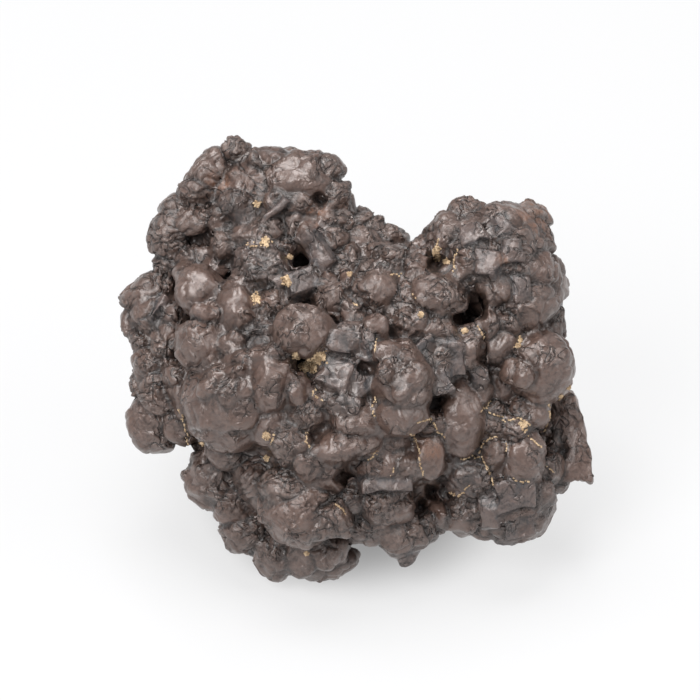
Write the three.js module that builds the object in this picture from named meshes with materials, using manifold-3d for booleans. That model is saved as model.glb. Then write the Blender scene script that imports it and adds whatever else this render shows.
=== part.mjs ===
// A prophecy stone: an iron-rich concretion from a desert floor, grown in one piece from dozens of
// round knobs, ribbed shells and clusters of small cubes that run into each other.
// Millimetres, +Z up. The stone rests at z = 0, and the origin is the middle of its box's bottom.
import * as THREE from "three";
import { mergeVertices } from "three/addons/utils/BufferGeometryUtils.js";
import Module from "manifold-3d";

const wasm = await Module();
wasm.setup();

// The stone lies so that its knobbly face looks up and forward. Lumps are placed on that face by three
// lengths: across to the right, up the face, and out of it.
const FACE_TILT = THREE.MathUtils.degToRad(50);
// How far below the face's middle the ground is.
const GROUND = -38.5;

// A lump's icosahedron has its sides split once, or twice if the lump's half size is at least this.
const LARGE = 6;
// How the stone is thinned out: the faces that are left, the least cosine of a face's turn, the cost of a
// merge for each millimetre that a point moves, and the costs of the first and the last merges allowed.
const FACES_KEPT = 9400;
const LEAST_COSINE = 0.35;
const COST_OF_WAY = 0.03;
const COSTS = { first: 0.02, last: 2, growth: 1.3 };
// How far a lump's surface strays from an even ellipsoid, as a share of its size.
const WOBBLE = { smooth: 0.05, wrinkled: 0.1, cubic: 0.06, ribbed: 0.08 };

// Each lump: kind, across, up, out, half width, half height, half depth, turn in degrees.
const CROWN = [
  ["wrinkled", -25, 44.2, 0, 3.6, 4, 5, 10], // the peak
  ["wrinkled", -22.4, 42, 1, 3.6, 3.4, 5, 0],
  ["ribbed", -30.6, 39.4, 0, 7, 4.4, 7, 53], // ribbed column
  ["ribbed", -33.2, 36.4, 2.5, 4.4, 2.9, 5, 8],
  ["ribbed", -33.4, 30.2, 2, 5.2, 3, 5.5, 5],
  ["ribbed", -31, 31.5, -4, 8, 9, 7, 0], // behind its ledges
  ["ribbed", -37.4, 32.2, -1, 3.9, 3.7, 5, 0],
  ["ribbed", -38.8, 26.6, 0, 4.7, 6.5, 6, 8], // dark fan
  ["ribbed", -39.7, 22, 0, 2.9, 3.3, 4, 0],
  ["ribbed", -36.8, 20.2, 1, 2.7, 2.5, 4, 0],
  ["wrinkled", -33.4, 21.6, 3, 4.2, 3.4, 5, 0],
  ["smooth", -28.8, 20, 8, 2.8, 2.8, 3.5, 0],
  ["wrinkled", -26.8, 25.2, 7, 3.8, 4.2, 5, -10],
  ["wrinkled", -28.2, 30, 5, 3.4, 4.4, 5, 0],
  ["smooth", -11.6, 38.4, 3, 9.6, 7.4, 9, 0], // the crown nodule
  ["smooth", -16.2, 42.6, 3, 6, 3.2, 6, 0],
  ["wrinkled", -19.6, 41.6, 2, 5, 3.8, 6, 0],
  ["wrinkled", -6.2, 40.2, 3, 4.6, 4.4, 6.5, -20],
  ["wrinkled", -5, 35, 6, 4.2, 4.4, 5, 0],
  ["wrinkled", -2.6, 33.8, 3, 2.8, 3, 4, 0],
  ["wrinkled", -13.4, 33.4, 6.5, 7, 4.6, 5.5, 0],
  ["wrinkled", -22, 36.4, 2, 8, 7, 7.5, 0],
  ["cubic", -24.6, 33.6, 7, 4.2, 4, 4.5, 0],
  ["wrinkled", -19.4, 27.4, 9.5, 6.2, 3.8, 5, 8],
  ["wrinkled", -13.2, 28.8, 8.5, 3.6, 3.8, 4, 0],
  ["wrinkled", -16, 24.4, 10, 4.6, 3, 4, 0],
  ["smooth", -9, 25.2, 10, 3, 5.6, 4.5, 33], // smooth ridge
  ["wrinkled", -4.6, 25.4, 8.5, 3.6, 5.4, 5, 30],
  ["wrinkled", -5.6, 29.8, 6.5, 5.4, 3.6, 5, -5],
  ["wrinkled", -1.8, 21.6, 9.5, 4, 4.4, 5, 0],
  ["wrinkled", 1.4, 30.6, -1, 2.8, 2.9, 5, 0], // shoulder
  ["wrinkled", 3.4, 29, -1, 3.8, 3, 5, 0],
  ["wrinkled", 7, 26.9, -1, 4.4, 3.2, 6, -12],
  ["wrinkled", 10.4, 23.6, 0, 3.6, 2.8, 5, 0],
  ["wrinkled", 1, 26, 4.5, 4.2, 3.6, 5, 0],
  ["wrinkled", 4.8, 22.8, 7.5, 4, 3.6, 5, 0],
  ["cubic", -19.3, 20, 12.5, 6.2, 6.2, 6.5, 0], // cubed nodule
];
const LEFT_FLANK = [
  ["ribbed", -43.6, 15.2, -1, 6.2, 3.8, 6, 25], // striped cap
  ["wrinkled", -42.4, 10.4, 1.5, 4.8, 5.2, 5.5, 0],
  ["wrinkled", -37.4, 10.4, 3, 3.6, 4.6, 5, 0],
  ["wrinkled", -46.4, 9, -3, 3, 5, 5, 12],
  ["wrinkled", -46.2, 13, -3, 3, 3.4, 4.5, 0],
  ["wrinkled", -44.4, 5, -1.5, 3.6, 3.6, 5, 0],
  ["wrinkled", -39, 4.4, 5.5, 3.8, 4.6, 5, 15],
  ["smooth", -37.6, -1.8, 9, 2.9, 2.8, 3.5, 0],
  ["wrinkled", -42.8, 0, 1, 4.2, 4, 5, 0],
  ["wrinkled", -44.8, -4, -1.5, 3.1, 3.5, 4.5, 0],
  ["ribbed", -41.4, -6.4, 4, 3.7, 4.8, 4, 0],
  ["smooth", -42, -11.6, -1, 6.2, 6.9, 6.5, -10], // bowl-shaped lump
  ["wrinkled", -36.6, -12.4, 3, 4.4, 4.6, 5, 0],
  ["smooth", -39, 0, 6, 1.9, 5.2, 4, 15],
  ["smooth", -36.6, -7.4, 8, 2, 5.2, 4, 16],
  ["smooth", -33.4, -12.8, 9, 2, 4.4, 4, 36],
  ["smooth", -34.8, 19, 7.5, 3.6, 3, 4.5, 0],
  ["smooth", -32.6, 15.6, 12, 5.4, 5.6, 6, 0],
  ["smooth", -29.8, 10, 15.5, 4.8, 3.6, 5, 0],
  ["smooth", -24.2, 11, 17, 4.6, 5.8, 5.5, 8],
  ["smooth", -24.4, 15.8, 14.5, 3.4, 3, 4, 0],
  ["smooth", -31.4, 4.2, 15.5, 6.6, 6.4, 6.5, 0],
];
const LEFT_HEART = [
  ["smooth", -25.6, -7.6, 14, 10.7, 9.7, 12.5, -10], // the largest nodule
  ["smooth", -28.8, -1.6, 23, 2.2, 2, 2.4, 0],
  ["smooth", -30, -5.2, 23.5, 2.4, 2.8, 2.4, 0],
  ["smooth", -26, -6.4, 25, 2.8, 3, 2.6, 0],
  ["smooth", -22.6, -5, 24.6, 2.8, 2.4, 2.6, 20],
  ["smooth", -24.2, -1.4, 24, 3.2, 2.4, 2.6, 0],
  ["smooth", -23, 0.8, 21.5, 4.2, 2.6, 4, 0],
  ["smooth", -26, -13.4, 16.5, 7.4, 5, 7, 0],
  ["smooth", -17.8, -11.8, 17.5, 5.2, 6, 7, 0],
  ["smooth", -17.2, -2.8, 22.5, 5.2, 7, 7, 0],
  ["smooth", -17.2, 2.2, 23.5, 4.2, 2.6, 4.5, 0],
  ["cubic", -19.4, 6.4, 19, 4.4, 3.4, 4, 25],
  ["wrinkled", -24.6, 4.6, 19.5, 3.8, 3.2, 4, 0],
  ["wrinkled", -16.8, 12.2, 16, 4.2, 3.4, 5, 0],
];
const CENTRE = [
  ["smooth", -10.8, 7.1, 24.5, 6.1, 6.1, 6.2, 0], // the round ball
  ["wrinkled", -4.6, 13.4, 15.5, 4, 5.4, 5, 0],
  ["cubic", -11.4, 16.8, 13.5, 4.6, 3.4, 4.5, 20],
  ["wrinkled", -0.6, 11.4, 19, 2.7, 2.6, 3.5, 0],
  ["wrinkled", -1.6, 16, 15, 3.2, 3.6, 4, 0],
  ["wrinkled", 4.2, 15.2, 16, 5.6, 5, 6, 0],
  ["wrinkled", 8, 21, 10, 5.8, 4.2, 6, 0],
  ["wrinkled", 2.8, 19.6, 12, 3.8, 3.2, 4, 0],
  ["smooth", 4.2, 7.6, 22.5, 3.2, 3.2, 3.6, 0],
  ["cubic", -0.8, 4, 22, 5.6, 5.4, 5.5, 0],
  ["cubic", -3.4, -2.6, 22, 5, 5, 5, 0],
  ["cubic", -1.8, -7.6, 22, 5.6, 4, 5.5, 0],
  ["smooth", 9.9, -4.2, 22.5, 6.2, 9.8, 9, 4], // the tall shiny nodule
  ["smooth", 6.8, -1.2, 29.5, 2.6, 3.4, 2.6, 0],
  ["smooth", 11.8, -2.2, 29.5, 3.4, 3.2, 2.6, 0],
  ["smooth", 9.4, -5.8, 30, 2.4, 2.2, 2.2, 0],
  ["smooth", 6.6, 3, 28, 2.8, 2.2, 2.4, 0],
  ["smooth", 9.6, -9.6, 23, 5.9, 5.4, 7.5, 0],
  ["smooth", 0.8, -11.4, 21.5, 6.2, 4.2, 6, 0],
  ["wrinkled", -9.4, -9.4, 20.5, 5.6, 3.8, 5.5, 0],
  ["smooth", -12, -5, 23.5, 2.9, 3.7, 4, 0],
  ["wrinkled", -6.2, -7, 21.5, 3.6, 3.6, 4.5, 0],
  ["smooth", -1.8, -16.6, 19.5, 8.8, 4.2, 6.5, 16],
  ["wrinkled", -13.6, -16.2, 19.5, 4.6, 4.9, 5.5, 0],
  ["wrinkled", -9.6, -20.2, 19.5, 4, 3.6, 4.5, 0],
  ["smooth", -5.4, -23.2, 16.5, 4.2, 3.8, 5.5, 0],
  ["smooth", 22, -10.6, 15.5, 4.5, 8.6, 5.5, 0], // long slab
  ["wrinkled", 23.1, 3.4, 16.5, 4.6, 4.8, 5.5, 0],
  ["wrinkled", 25.6, -4.4, 14.5, 3, 4.2, 4, 0],
  ["wrinkled", 16.8, 14.2, 16.5, 6.4, 5.2, 7, 0],
  ["wrinkled", 9.8, 13.6, 15.5, 3.6, 4.4, 5, 0],
  ["wrinkled", 11.4, 8.6, 18.5, 5, 3.8, 5, 0],
  ["wrinkled", 16.4, 7.4, 18, 5.2, 3.8, 5, 0],
  ["wrinkled", 16.4, 1.2, 18, 5.4, 5, 6, 0],
  ["wrinkled", 12.8, 19.6, 12, 4.6, 4, 5, 0],
  ["wrinkled", 13.8, 23.2, 7, 3.4, 3.8, 5, 0],
  ["wrinkled", 19, 19.8, 9.5, 3.8, 4, 5, 0],
  ["wrinkled", 15.6, -12.4, 17, 3.4, 3.4, 4.5, 0],
];
const RIGHT_TOP = [
  ["wrinkled", 29.2, 21.6, 7, 12, 12, 12, 0], // the large cubed head
  ["wrinkled", 19.6, 25.6, 6.5, 5.4, 6.4, 7, 0],
  ["wrinkled", 24.2, 31.8, 4, 4.8, 3, 6, 0],
  ["wrinkled", 30.4, 31.4, 4, 5.4, 2.8, 6, 0],
  ["wrinkled", 36.6, 30.4, 3, 4.6, 3.8, 6, 0],
  ["wrinkled", 38, 25.8, 5.5, 3.8, 5.4, 6, 0],
  ["wrinkled", 23.8, 21.4, 15, 4, 4, 5, 0],
  ["smooth", 37.4, 20.2, 11, 4.8, 4.4, 5.5, 0],
  ["wrinkled", 29.4, 15.6, 14.5, 5, 4, 5, 0],
  ["wrinkled", 35, 12.4, 11.5, 7.2, 5, 7, 0],
  ["wrinkled", 41, 16.8, 3.5, 3.4, 7.2, 6.5, 0],
  ["wrinkled", 41, 9.4, 3, 3.6, 4.8, 6, 0],
  ["wrinkled", 27.7, 8.4, 15.5, 3, 3.8, 4.5, 0],
  ["wrinkled", 31.2, 8.6, 14.5, 3.2, 3.2, 4, 0],
  ["wrinkled", 30.2, 3.8, 14, 4.2, 3.8, 4.5, 0],
];
const RIGHT_SIDE = [
  ["smooth", 38.1, -0.2, 11, 8, 7.9, 8.5, 0], // the right-hand ball
  ["smooth", 34.9, -1.6, 16.5, 4.6, 3.6, 3.6, 0],
  ["smooth", 29.8, -4.2, 9.5, 3.6, 5.6, 5.5, 15],
  ["smooth", 35.6, -9.8, 9.5, 5.4, 4.6, 5.5, 0],
  ["wrinkled", 29, -9, 11.5, 3.2, 2.8, 3.5, 0],
  ["wrinkled", 28.4, -13.2, 12, 2.8, 3.4, 4, 0],
  ["wrinkled", 42.2, -16.5, -2, 4, 7, 5, 12],
  ["wrinkled", 42, -24.6, -2, 3.6, 2.8, 4.5, 0],
];
const RIGHT_FOOT = [
  ["wrinkled", 33, -28.6, 2, 9, 9.2, 9.5, 0], // low right cluster
  ["smooth", 34.7, -18.8, 10, 5.6, 6.4, 6.5, 0],
  ["ribbed", 33, -13.6, 11.5, 3.4, 3.6, 5, 0],
  ["wrinkled", 28.6, -18.4, 11.5, 3.2, 4.5, 5, 0],
  ["wrinkled", 32, -34.4, 1.5, 6, 3.4, 6, 0],
  ["wrinkled", 38, -27.6, 3.5, 4, 6.4, 6, -15],
  ["cubic", 24, -22.6, 9.5, 5.8, 5.4, 6, 0],
  ["wrinkled", 22.8, -30.6, 3.5, 6, 5, 6.5, 0],
  ["wrinkled", 28, -33, 2, 4, 4.2, 5.5, 0],
  ["smooth", 18, -30.4, 5.5, 3, 3, 4, 0],
  ["smooth", 15.4, -17.6, 15.5, 3.8, 6.5, 5.5, 3], // oval with sand round it
  ["wrinkled", 39.6, -21.8, 2.5, 4.4, 4.2, 5.5, 0],
];
const LOWER_FACE = [
  ["wrinkled", 6.9, -20, 12.5, 7.4, 6.4, 8.5, 0],
  ["wrinkled", 6.3, -16, 17, 5.6, 3.6, 4.5, 0],
  ["wrinkled", 10.4, -21, 16.5, 4.4, 3.6, 4.5, 0],
  ["wrinkled", 6.4, -29.2, 12, 6.4, 4.6, 6, 0],
  ["wrinkled", 9.8, -35.2, 6, 5.6, 5.4, 6, 0],
  ["wrinkled", 14.8, -33.8, 4, 3.8, 3.8, 5, 0],
  ["wrinkled", 1.6, -32.4, 7, 4.8, 4.2, 5.5, 0],
  ["wrinkled", -0.6, -28, 12, 4.4, 3.6, 5, 0],
  ["wrinkled", 3.2, -35.8, 4, 4.2, 3, 5, -15],
  ["wrinkled", -29.6, -23.6, 1.5, 6.4, 7.3, 8, 8],
  ["wrinkled", -26.6, -18.4, 7.5, 5.4, 4, 5.5, 0],
  ["wrinkled", -25.4, -28.6, 3, 4.8, 6, 6, 0],
  ["wrinkled", -23.2, -33.8, 0, 5.6, 5.8, 7, 30],
  ["ribbed", -21, -24.8, 9.5, 4, 5.4, 6, 15],
  ["wrinkled", -11.2, -29, 11, 9.7, 8.8, 10.5, -20], // broad shield
  ["ribbed", -14.4, -25.6, 16.5, 5.4, 5, 5, 0],
  ["wrinkled", -6.6, -31.4, 14, 6.2, 5.6, 6.5, 0],
  ["wrinkled", -16.8, -39, 0, 5.2, 6, 7, 10],
  ["wrinkled", -20.6, -36.4, -2, 4.2, 4.4, 6, 0],
  ["wrinkled", -11, -39.4, 3, 4.2, 5, 5.5, 0],
  ["wrinkled", -6, -39.2, 3, 5.6, 3.8, 6, 12],
  ["wrinkled", -6.6, -42.2, -4, 7.8, 3.6, 6.5, 12], // front foot
];
// The unseen side: round bodies that carry knobs all over their backs. Each body: across, up, out, half
// width, half height, half depth and the number of its knobs.
const BACKS = [
  [0, -5, -7, 36, 29, 26, 58],
  [-21, 27, -7, 16, 15, 14, 20],
  [28, 15, -7, 11, 11, 14, 12],
  [-34.5, -1, -5, 7, 13, 12, 12],
  [-13, -31, -7, 12, 9, 12, 10],
  [30, -20, -8, 9, 10, 12, 12],
  [0, -7.5, -16.7, 27, 17, 18, 22],
];
const KNOB = { size: 5, spread: 2, sunk: 0.9, wrap: 0.1 };
// Two feet below the back, on which it stands together with the front foot, and the knobs beside them.
const BACK_FEET = [
  ["smooth", -19, -15.7, -32.7, 7, 7, 7, 0],
  ["wrinkled", -13.6, -13, -31, 6, 5, 6, 0],
  ["wrinkled", -23.4, -11, -29.5, 5.5, 6, 6, 0],
  ["smooth", 19, -16.8, -31.3, 7, 7, 7, 0],
  ["wrinkled", 13.4, -13.5, -30.5, 6, 5.5, 6, 0],
  ["wrinkled", 23.4, -12.6, -28, 5.5, 6, 6, 0],
];

// The cubes on a cubed lump: their number, their side and reach as shares of the lump, and their lean.
const CUBES = { count: 6, side: 0.5, reach: 0.8, spread: 0.85, lean: 40 };
// Each cube or slab: across, up, out, half width, half height, half depth, turn, swing and tip in degrees.
const BLOCKS = [
  [-17.4, 31.6, 11.5, 4.4, 0.9, 2.5, 44, 0, 0], // slanting rib below the crown
  [-7.6, 24.4, 12.5, 2.2, 4.6, 3, 33, -25, 0],
  [-40.6, 11.4, 4.5, 2.4, 3.6, 2.6, -35, 20, 0],
  [-11.2, 17, 16, 3.4, 2.4, 2.4, 20, 15, -15],
  [-2.4, 4.4, 25.4, 2.4, 2.4, 2.4, -12, 0, -10], // dark cubes in the middle
  [2.4, 4, 24.8, 1.6, 2.8, 2.6, -12, 0, 0],
  [-3.6, -2.4, 24.6, 3.2, 3, 3, -22, -15, -15],
  [1.2, -3.6, 24.4, 1.8, 2.2, 2.6, -10, 10, 0],
  [-1.4, -7.6, 25.2, 2.6, 1.8, 2.6, -14, 0, 10],
  [15.6, -0.8, 20.5, 2.4, 6, 3.4, 27, 15, 0],
  [20, 2, 19.5, 2.6, 3.8, 3, 10, 0, 10],
  [26, -2.4, 16.5, 1.7, 2.4, 2.4, 25, 0, 0],
  [24.8, 26.6, 15.8, 3, 2.4, 3, 12, -10, -25], // cubes of the head
  [30, 28, 14.6, 2.8, 2.4, 3, 35, 0, -30],
  [32.4, 23.2, 17.2, 2.1, 2.8, 2.6, 3, 12, -8],
  [27.2, 21, 18.2, 2.6, 2.8, 2.6, -5, -4, 0],
  [34, 15.2, 16, 2, 2.8, 2.6, 5, 20, 0],
  [42.6, 12.4, -1, 0.9, 3.6, 3.4, -5, 0, 0],
  [33, -26.4, 9.8, 4, 3.4, 3.4, 10, 8, 12], // facets of the low right cluster
  [28.2, -29, 7, 1.8, 5.4, 5, 6, -12, 0],
  [34, -32.8, 7, 3.4, 2.6, 3, 8, 6, 30],
  [6.1, -25, 16, 5.4, 1.6, 3.6, 2, 0, 0], // grey bar
];
// The wedge on the right: its outline across and up, its thickness and where its middle lies.
const WEDGE = {
  outline: [
    [39, -6],
    [44.4, -4.6],
    [47, -6.6],
    [47.8, -12.8],
    [49.4, -19],
    [50.4, -23.6],
    [49.6, -25],
    [45, -24.4],
    [42, -23.4],
    [38.6, -13],
  ],
  thickness: 5,
  out: -1,
  bevel: 0.9,
};
// The tooth that points down below the middle: a cone from its root to its tip.
const TOOTH = { across: 11.4, up: -38.2, out: 4, radius: 4, height: 8.6, sides: 7, lean: -6 };

const GOLDEN_ANGLE = Math.PI * (3 - Math.sqrt(5));

function solidFrom(geometry) {
  const bare = geometry.clone();
  bare.deleteAttribute("normal");
  bare.deleteAttribute("uv");
  const merged = mergeVertices(bare, 1e-4);
  const vertProperties = merged.getAttribute("position").array;
  const triVerts = new Uint32Array(merged.index.array);
  return new wasm.Manifold(new wasm.Mesh({ numProp: 3, vertProperties, triVerts }));
}

function geometryFrom(solid) {
  const mesh = solid.getMesh();
  return new THREE.BufferGeometry()
    .setAttribute("position", new THREE.BufferAttribute(mesh.vertProperties, 3))
    .setIndex(new THREE.BufferAttribute(mesh.triVerts, 1));
}

// Thins a closed surface out: the points whose loss moves it least go first, each merged with a neighbour,
// and none whose loss would pinch the surface or fold it over.
function thinOut(geometry, facesKept) {
  const position = geometry.getAttribute("position");
  const pointAt = (i) => new THREE.Vector3().fromBufferAttribute(position, i);
  const points = Array.from({ length: position.count }, (_, i) => pointAt(i));
  const corners = Array.from(geometry.index.array);
  const faceAt = (i) => corners.slice(3 * i, 3 * i + 3);
  const faces = new Set(Array.from({ length: corners.length / 3 }, (_, i) => faceAt(i)));
  const facesAt = points.map(() => new Set());
  faces.forEach((face) => face.forEach((point) => facesAt[point].add(face)));
  const triangle = new THREE.Triangle();
  const cornersOf = (face) => face.map((point) => points[point]);
  const normalOf = (face) => triangle.set(...cornersOf(face)).getNormal(new THREE.Vector3());
  const neighboursOf = (point) => new Set([...facesAt[point]].flat().filter((other) => other !== point));

  const loss = (from, to) => {
    const way = points[to].clone().sub(points[from]);
    const lifts = [...facesAt[from]].map((face) => Math.abs(normalOf(face).dot(way)));
    return Math.max(...lifts) + COST_OF_WAY * way.length();
  };
  const canMerge = (from, to) => {
    const nextToBoth = [...neighboursOf(from)].filter((point) => neighboursOf(to).has(point));
    if (nextToBoth.length !== 2) return false;
    return [...facesAt[from]].every((face) => {
      if (face.includes(to)) return true;
      const turned = normalOf(face.map((point) => (point === from ? to : point)));
      return turned.dot(normalOf(face)) > LEAST_COSINE;
    });
  };
  const merge = (from, to) => {
    for (const face of facesAt[from]) {
      if (face.includes(to)) {
        faces.delete(face);
        face.forEach((point) => point !== from && facesAt[point].delete(face));
      } else {
        face[face.indexOf(from)] = to;
        facesAt[to].add(face);
      }
    }
    facesAt[from].clear();
  };

  for (let most = COSTS.first; faces.size > facesKept && most < COSTS.last; most *= COSTS.growth) {
    for (let from = 0; from < points.length && faces.size > facesKept; from++) {
      const ways = [...neighboursOf(from)].map((to) => ({ to, cost: loss(from, to) }));
      const open = ways.filter(({ to, cost }) => cost < most && canMerge(from, to));
      if (open.length) merge(from, open.reduce((a, b) => (b.cost < a.cost ? b : a)).to);
    }
  }
  const thinned = new THREE.BufferGeometry().setFromPoints([...faces].flatMap(cornersOf));
  return mergeVertices(thinned, 1e-4);
}

// Turns a geometry made at the face's middle and puts it in its place on the face.
function place(geometry, [across, up, out], [tip, swing, turn]) {
  const angles = new THREE.Euler(...[tip, swing, turn].map(THREE.MathUtils.degToRad), "ZYX");
  geometry.applyMatrix4(new THREE.Matrix4().makeRotationFromEuler(angles));
  return geometry.translate(across, up, out);
}

// A lump's wobble at one point of the unit ball: three slow waves, shifted from lump to lump.
function wobbleAt(p, seed, share) {
  const waves =
    Math.sin(3.1 * p.x + 1.7 * seed) +
    Math.sin(2.7 * p.y + 1.3 * p.x + 2.3 * seed) +
    Math.sin(2.9 * p.z + 3.1 * seed);
  return 1 + (share * waves) / 3;
}

function lump([kind, across, up, out, width, height, depth, turn], seed) {
  const ball = new THREE.IcosahedronGeometry(1, Math.max(width, height) < LARGE ? 1 : 2);
  const points = ball.getAttribute("position");
  const p = new THREE.Vector3();
  for (let i = 0; i < points.count; i++) {
    p.fromBufferAttribute(points, i);
    p.multiplyScalar(wobbleAt(p, seed, WOBBLE[kind]));
    points.setXYZ(i, p.x * width, p.y * height, p.z * depth);
  }
  return place(ball, [across, up, out], [0, 0, turn]);
}

// Small cubes that stand out of a cubed lump's open side, each tipped outwards.
function cubesOn([, across, up, out, width, height, depth], seed) {
  const cubes = [];
  for (let i = 0; i < CUBES.count; i++) {
    const angle = i * GOLDEN_ANGLE + seed;
    const spread = CUBES.spread * Math.sqrt((i + 0.3) / CUBES.count);
    const side = CUBES.side * Math.min(width, height);
    const x = across + width * CUBES.reach * spread * Math.cos(angle);
    const y = up + height * CUBES.reach * spread * Math.sin(angle);
    const z = out + depth * CUBES.reach * Math.sqrt(1 - spread * spread);
    const lean = CUBES.lean * spread;
    const turns = [-lean * Math.sin(angle), lean * Math.cos(angle), 25 * i];
    cubes.push(place(new THREE.BoxGeometry(side, 1.1 * side, side), [x, y, z], turns));
  }
  return cubes;
}

function block([across, up, out, width, height, depth, turn, swing, tip]) {
  const box = new THREE.BoxGeometry(2 * width, 2 * height, 2 * depth);
  return place(box, [across, up, out], [tip, swing, turn]);
}

function wedge({ outline, thickness, out, bevel }) {
  const shape = new THREE.Shape(outline.map(([x, y]) => new THREE.Vector2(x, y)));
  const edge = { bevelThickness: bevel, bevelSize: bevel, bevelOffset: -bevel, bevelSegments: 1 };
  return new THREE.ExtrudeGeometry(shape, { depth: thickness, ...edge }).translate(0, 0, out - thickness / 2);
}

function tooth({ across, up, out, radius, height, sides, lean }) {
  const cone = new THREE.ConeGeometry(radius, height, sides);
  return place(cone, [across, up, out], [0, 0, 180 + lean]);
}

// The knobs on a body's back, spread by the golden angle from its rim to its middle.
function knobsBehind([across, up, out, width, height, depth, count], seed) {
  const knobs = [];
  for (let i = 0; i < count; i++) {
    const back = (i + 0.5) / count - KNOB.wrap;
    const ring = KNOB.sunk * Math.sqrt(1 - back * back);
    const angle = i * GOLDEN_ANGLE + seed;
    const size = KNOB.size + KNOB.spread * Math.sin(5.1 * i + seed);
    knobs.push([
      "wrinkled",
      across + width * ring * Math.cos(angle),
      up + height * ring * Math.sin(angle),
      out - depth * KNOB.sunk * back,
      size,
      size * (1 + 0.2 * Math.sin(2.3 * i + seed)),
      size,
      40 * i,
    ]);
  }
  return knobs;
}

function everyLump() {
  const seen = [CROWN, LEFT_FLANK, LEFT_HEART, CENTRE, RIGHT_TOP, RIGHT_SIDE, RIGHT_FOOT, LOWER_FACE].flat();
  const bodies = BACKS.map((body) => ["wrinkled", ...body.slice(0, 6), 0]);
  return [...seen, ...bodies, ...BACKS.flatMap(knobsBehind), ...BACK_FEET];
}

function stoneSolid() {
  const lumps = everyLump();
  const shapes = [
    ...lumps.map(lump),
    ...lumps.flatMap((row, seed) => (row[0] === "cubic" ? cubesOn(row, seed) : [])),
    ...BLOCKS.map(block),
    wedge(WEDGE),
    tooth(TOOTH),
  ];
  const whole = shapes.map(solidFrom).reduce((joined, next) => joined.add(next));
  // The outer skin alone, so that no hollow stays shut inside.
  const skin = whole.decompose().reduce((most, body) => (body.volume() > most.volume() ? body : most));
  const upright = thinOut(geometryFrom(skin), FACES_KEPT).rotateX(FACE_TILT).translate(0, 0, -GROUND);
  // The ground wears the lowest lumps flat, which gives the stone its feet.
  const ground = solidFrom(new THREE.BoxGeometry(200, 200, 40).translate(0, 0, -20));
  return solidFrom(upright).subtract(ground);
}

const shape = geometryFrom(stoneSolid());
shape.computeBoundingBox();
const middle = shape.boundingBox.getCenter(new THREE.Vector3());
shape.translate(-middle.x, -middle.y, 0);

const iron = new THREE.MeshStandardMaterial({ color: 0x4a3d39, roughness: 0.5, metalness: 0 });
const stone = new THREE.Mesh(shape, iron);
stone.name = "stone";

const part = new THREE.Group();
part.add(stone);
export default part;
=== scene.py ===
import math
import random

import bmesh
import bpy
import numpy as np
from mathutils import Euler, Matrix, Vector, noise
from mathutils.bvhtree import BVHTree
from mathutils.kdtree import KDTree


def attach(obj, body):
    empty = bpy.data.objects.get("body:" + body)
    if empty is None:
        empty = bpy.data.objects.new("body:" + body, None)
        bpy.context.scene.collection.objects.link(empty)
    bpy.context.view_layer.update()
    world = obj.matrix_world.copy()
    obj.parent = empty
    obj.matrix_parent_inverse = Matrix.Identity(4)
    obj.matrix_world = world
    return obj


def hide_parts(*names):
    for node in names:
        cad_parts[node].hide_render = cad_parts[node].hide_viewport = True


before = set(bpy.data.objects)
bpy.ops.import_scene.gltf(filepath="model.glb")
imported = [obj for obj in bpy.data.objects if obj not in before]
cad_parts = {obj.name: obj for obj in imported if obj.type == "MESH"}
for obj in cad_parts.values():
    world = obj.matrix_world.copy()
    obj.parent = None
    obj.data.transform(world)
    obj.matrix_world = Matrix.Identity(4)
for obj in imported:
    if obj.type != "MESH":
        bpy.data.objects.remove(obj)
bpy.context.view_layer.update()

# The crown: the peak, a ribbed column, the smooth nodule beside it and a cubed nodule in front.
# It is iron oxide that grew in sand as round knobs, and each knob runs into the next with no joint.
# Lumps are placed on the knobbly face, in millimetres: across to the right, up the face, out of it.
FACE_TILT = math.radians(50)
GROUND = -38.5
BOX_MIDDLE = (0.437, 2.407)
TO_STAND = (
    Matrix.Scale(0.001, 4)
    @ Matrix.Translation((-BOX_MIDDLE[0], -BOX_MIDDLE[1], -GROUND))
    @ Matrix.Rotation(FACE_TILT, 4, "X")
)
LARGE = 6  # half width or height from which a ball needs a finer mesh
WOBBLE = {"smooth": 0.05, "wrinkled": 0.1, "cubic": 0.06, "ribbed": 0.08}
CUBES = {
    "count": 6,
    "side": 0.5,
    "tall": 1.1,
    "reach": 0.8,
    "first": 0.3,
    "spread": 0.85,
    "lean": 40,
    "turn": 25,
}
GOLDEN_ANGLE = math.pi * (3 - math.sqrt(5))
# Lumps are made larger all round, because the fused stone is drawn back, which fills its narrow
# seams. A crystal's edges are rounded, which keeps them whole while it is drawn back.
SWELL = {"by": 0.65, "most_at_corners": 1.6}
ROUNDING = {"offset": 1, "segments": 4, "profile": 0.5}

lumps = []
forms = []


def wobble(p, seed, share):
    """How far a lump strays from an even ball at p: three slow waves, shifted from lump to lump."""
    waves = (
        math.sin(3.1 * p.x + 1.7 * seed)
        + math.sin(2.7 * p.y + 1.3 * p.x + 2.3 * seed)
        + math.sin(2.9 * p.z + 3.1 * seed)
    )
    return 1 + share * waves / 3


def mesh_object(name, shape):
    """A new object with a bmesh's shape, linked to the scene."""
    mesh = bpy.data.meshes.new(name)
    shape.to_mesh(mesh)
    shape.free()
    made = bpy.data.objects.new(name, mesh)
    bpy.context.scene.collection.objects.link(made)
    return made


def add_form(shape, kind, place, half, boxy):
    """Puts a unit shape in its place on the face, and notes it for the work on its surface."""
    bmesh.ops.transform(shape, matrix=place @ Matrix.Diagonal((*half, 1)), verts=shape.verts)
    shape.normal_update()
    for vert in shape.verts:
        corner = min(vert.calc_shell_factor(), SWELL["most_at_corners"])
        vert.co += vert.normal * SWELL["by"] * corner
    if boxy or kind == "crystal":
        bmesh.ops.bevel(shape, geom=shape.edges[:], affect="EDGES", material=-1, **ROUNDING)
    lumps.append(mesh_object("lump", shape))
    forms.append((kind, place, half, boxy))


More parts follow.
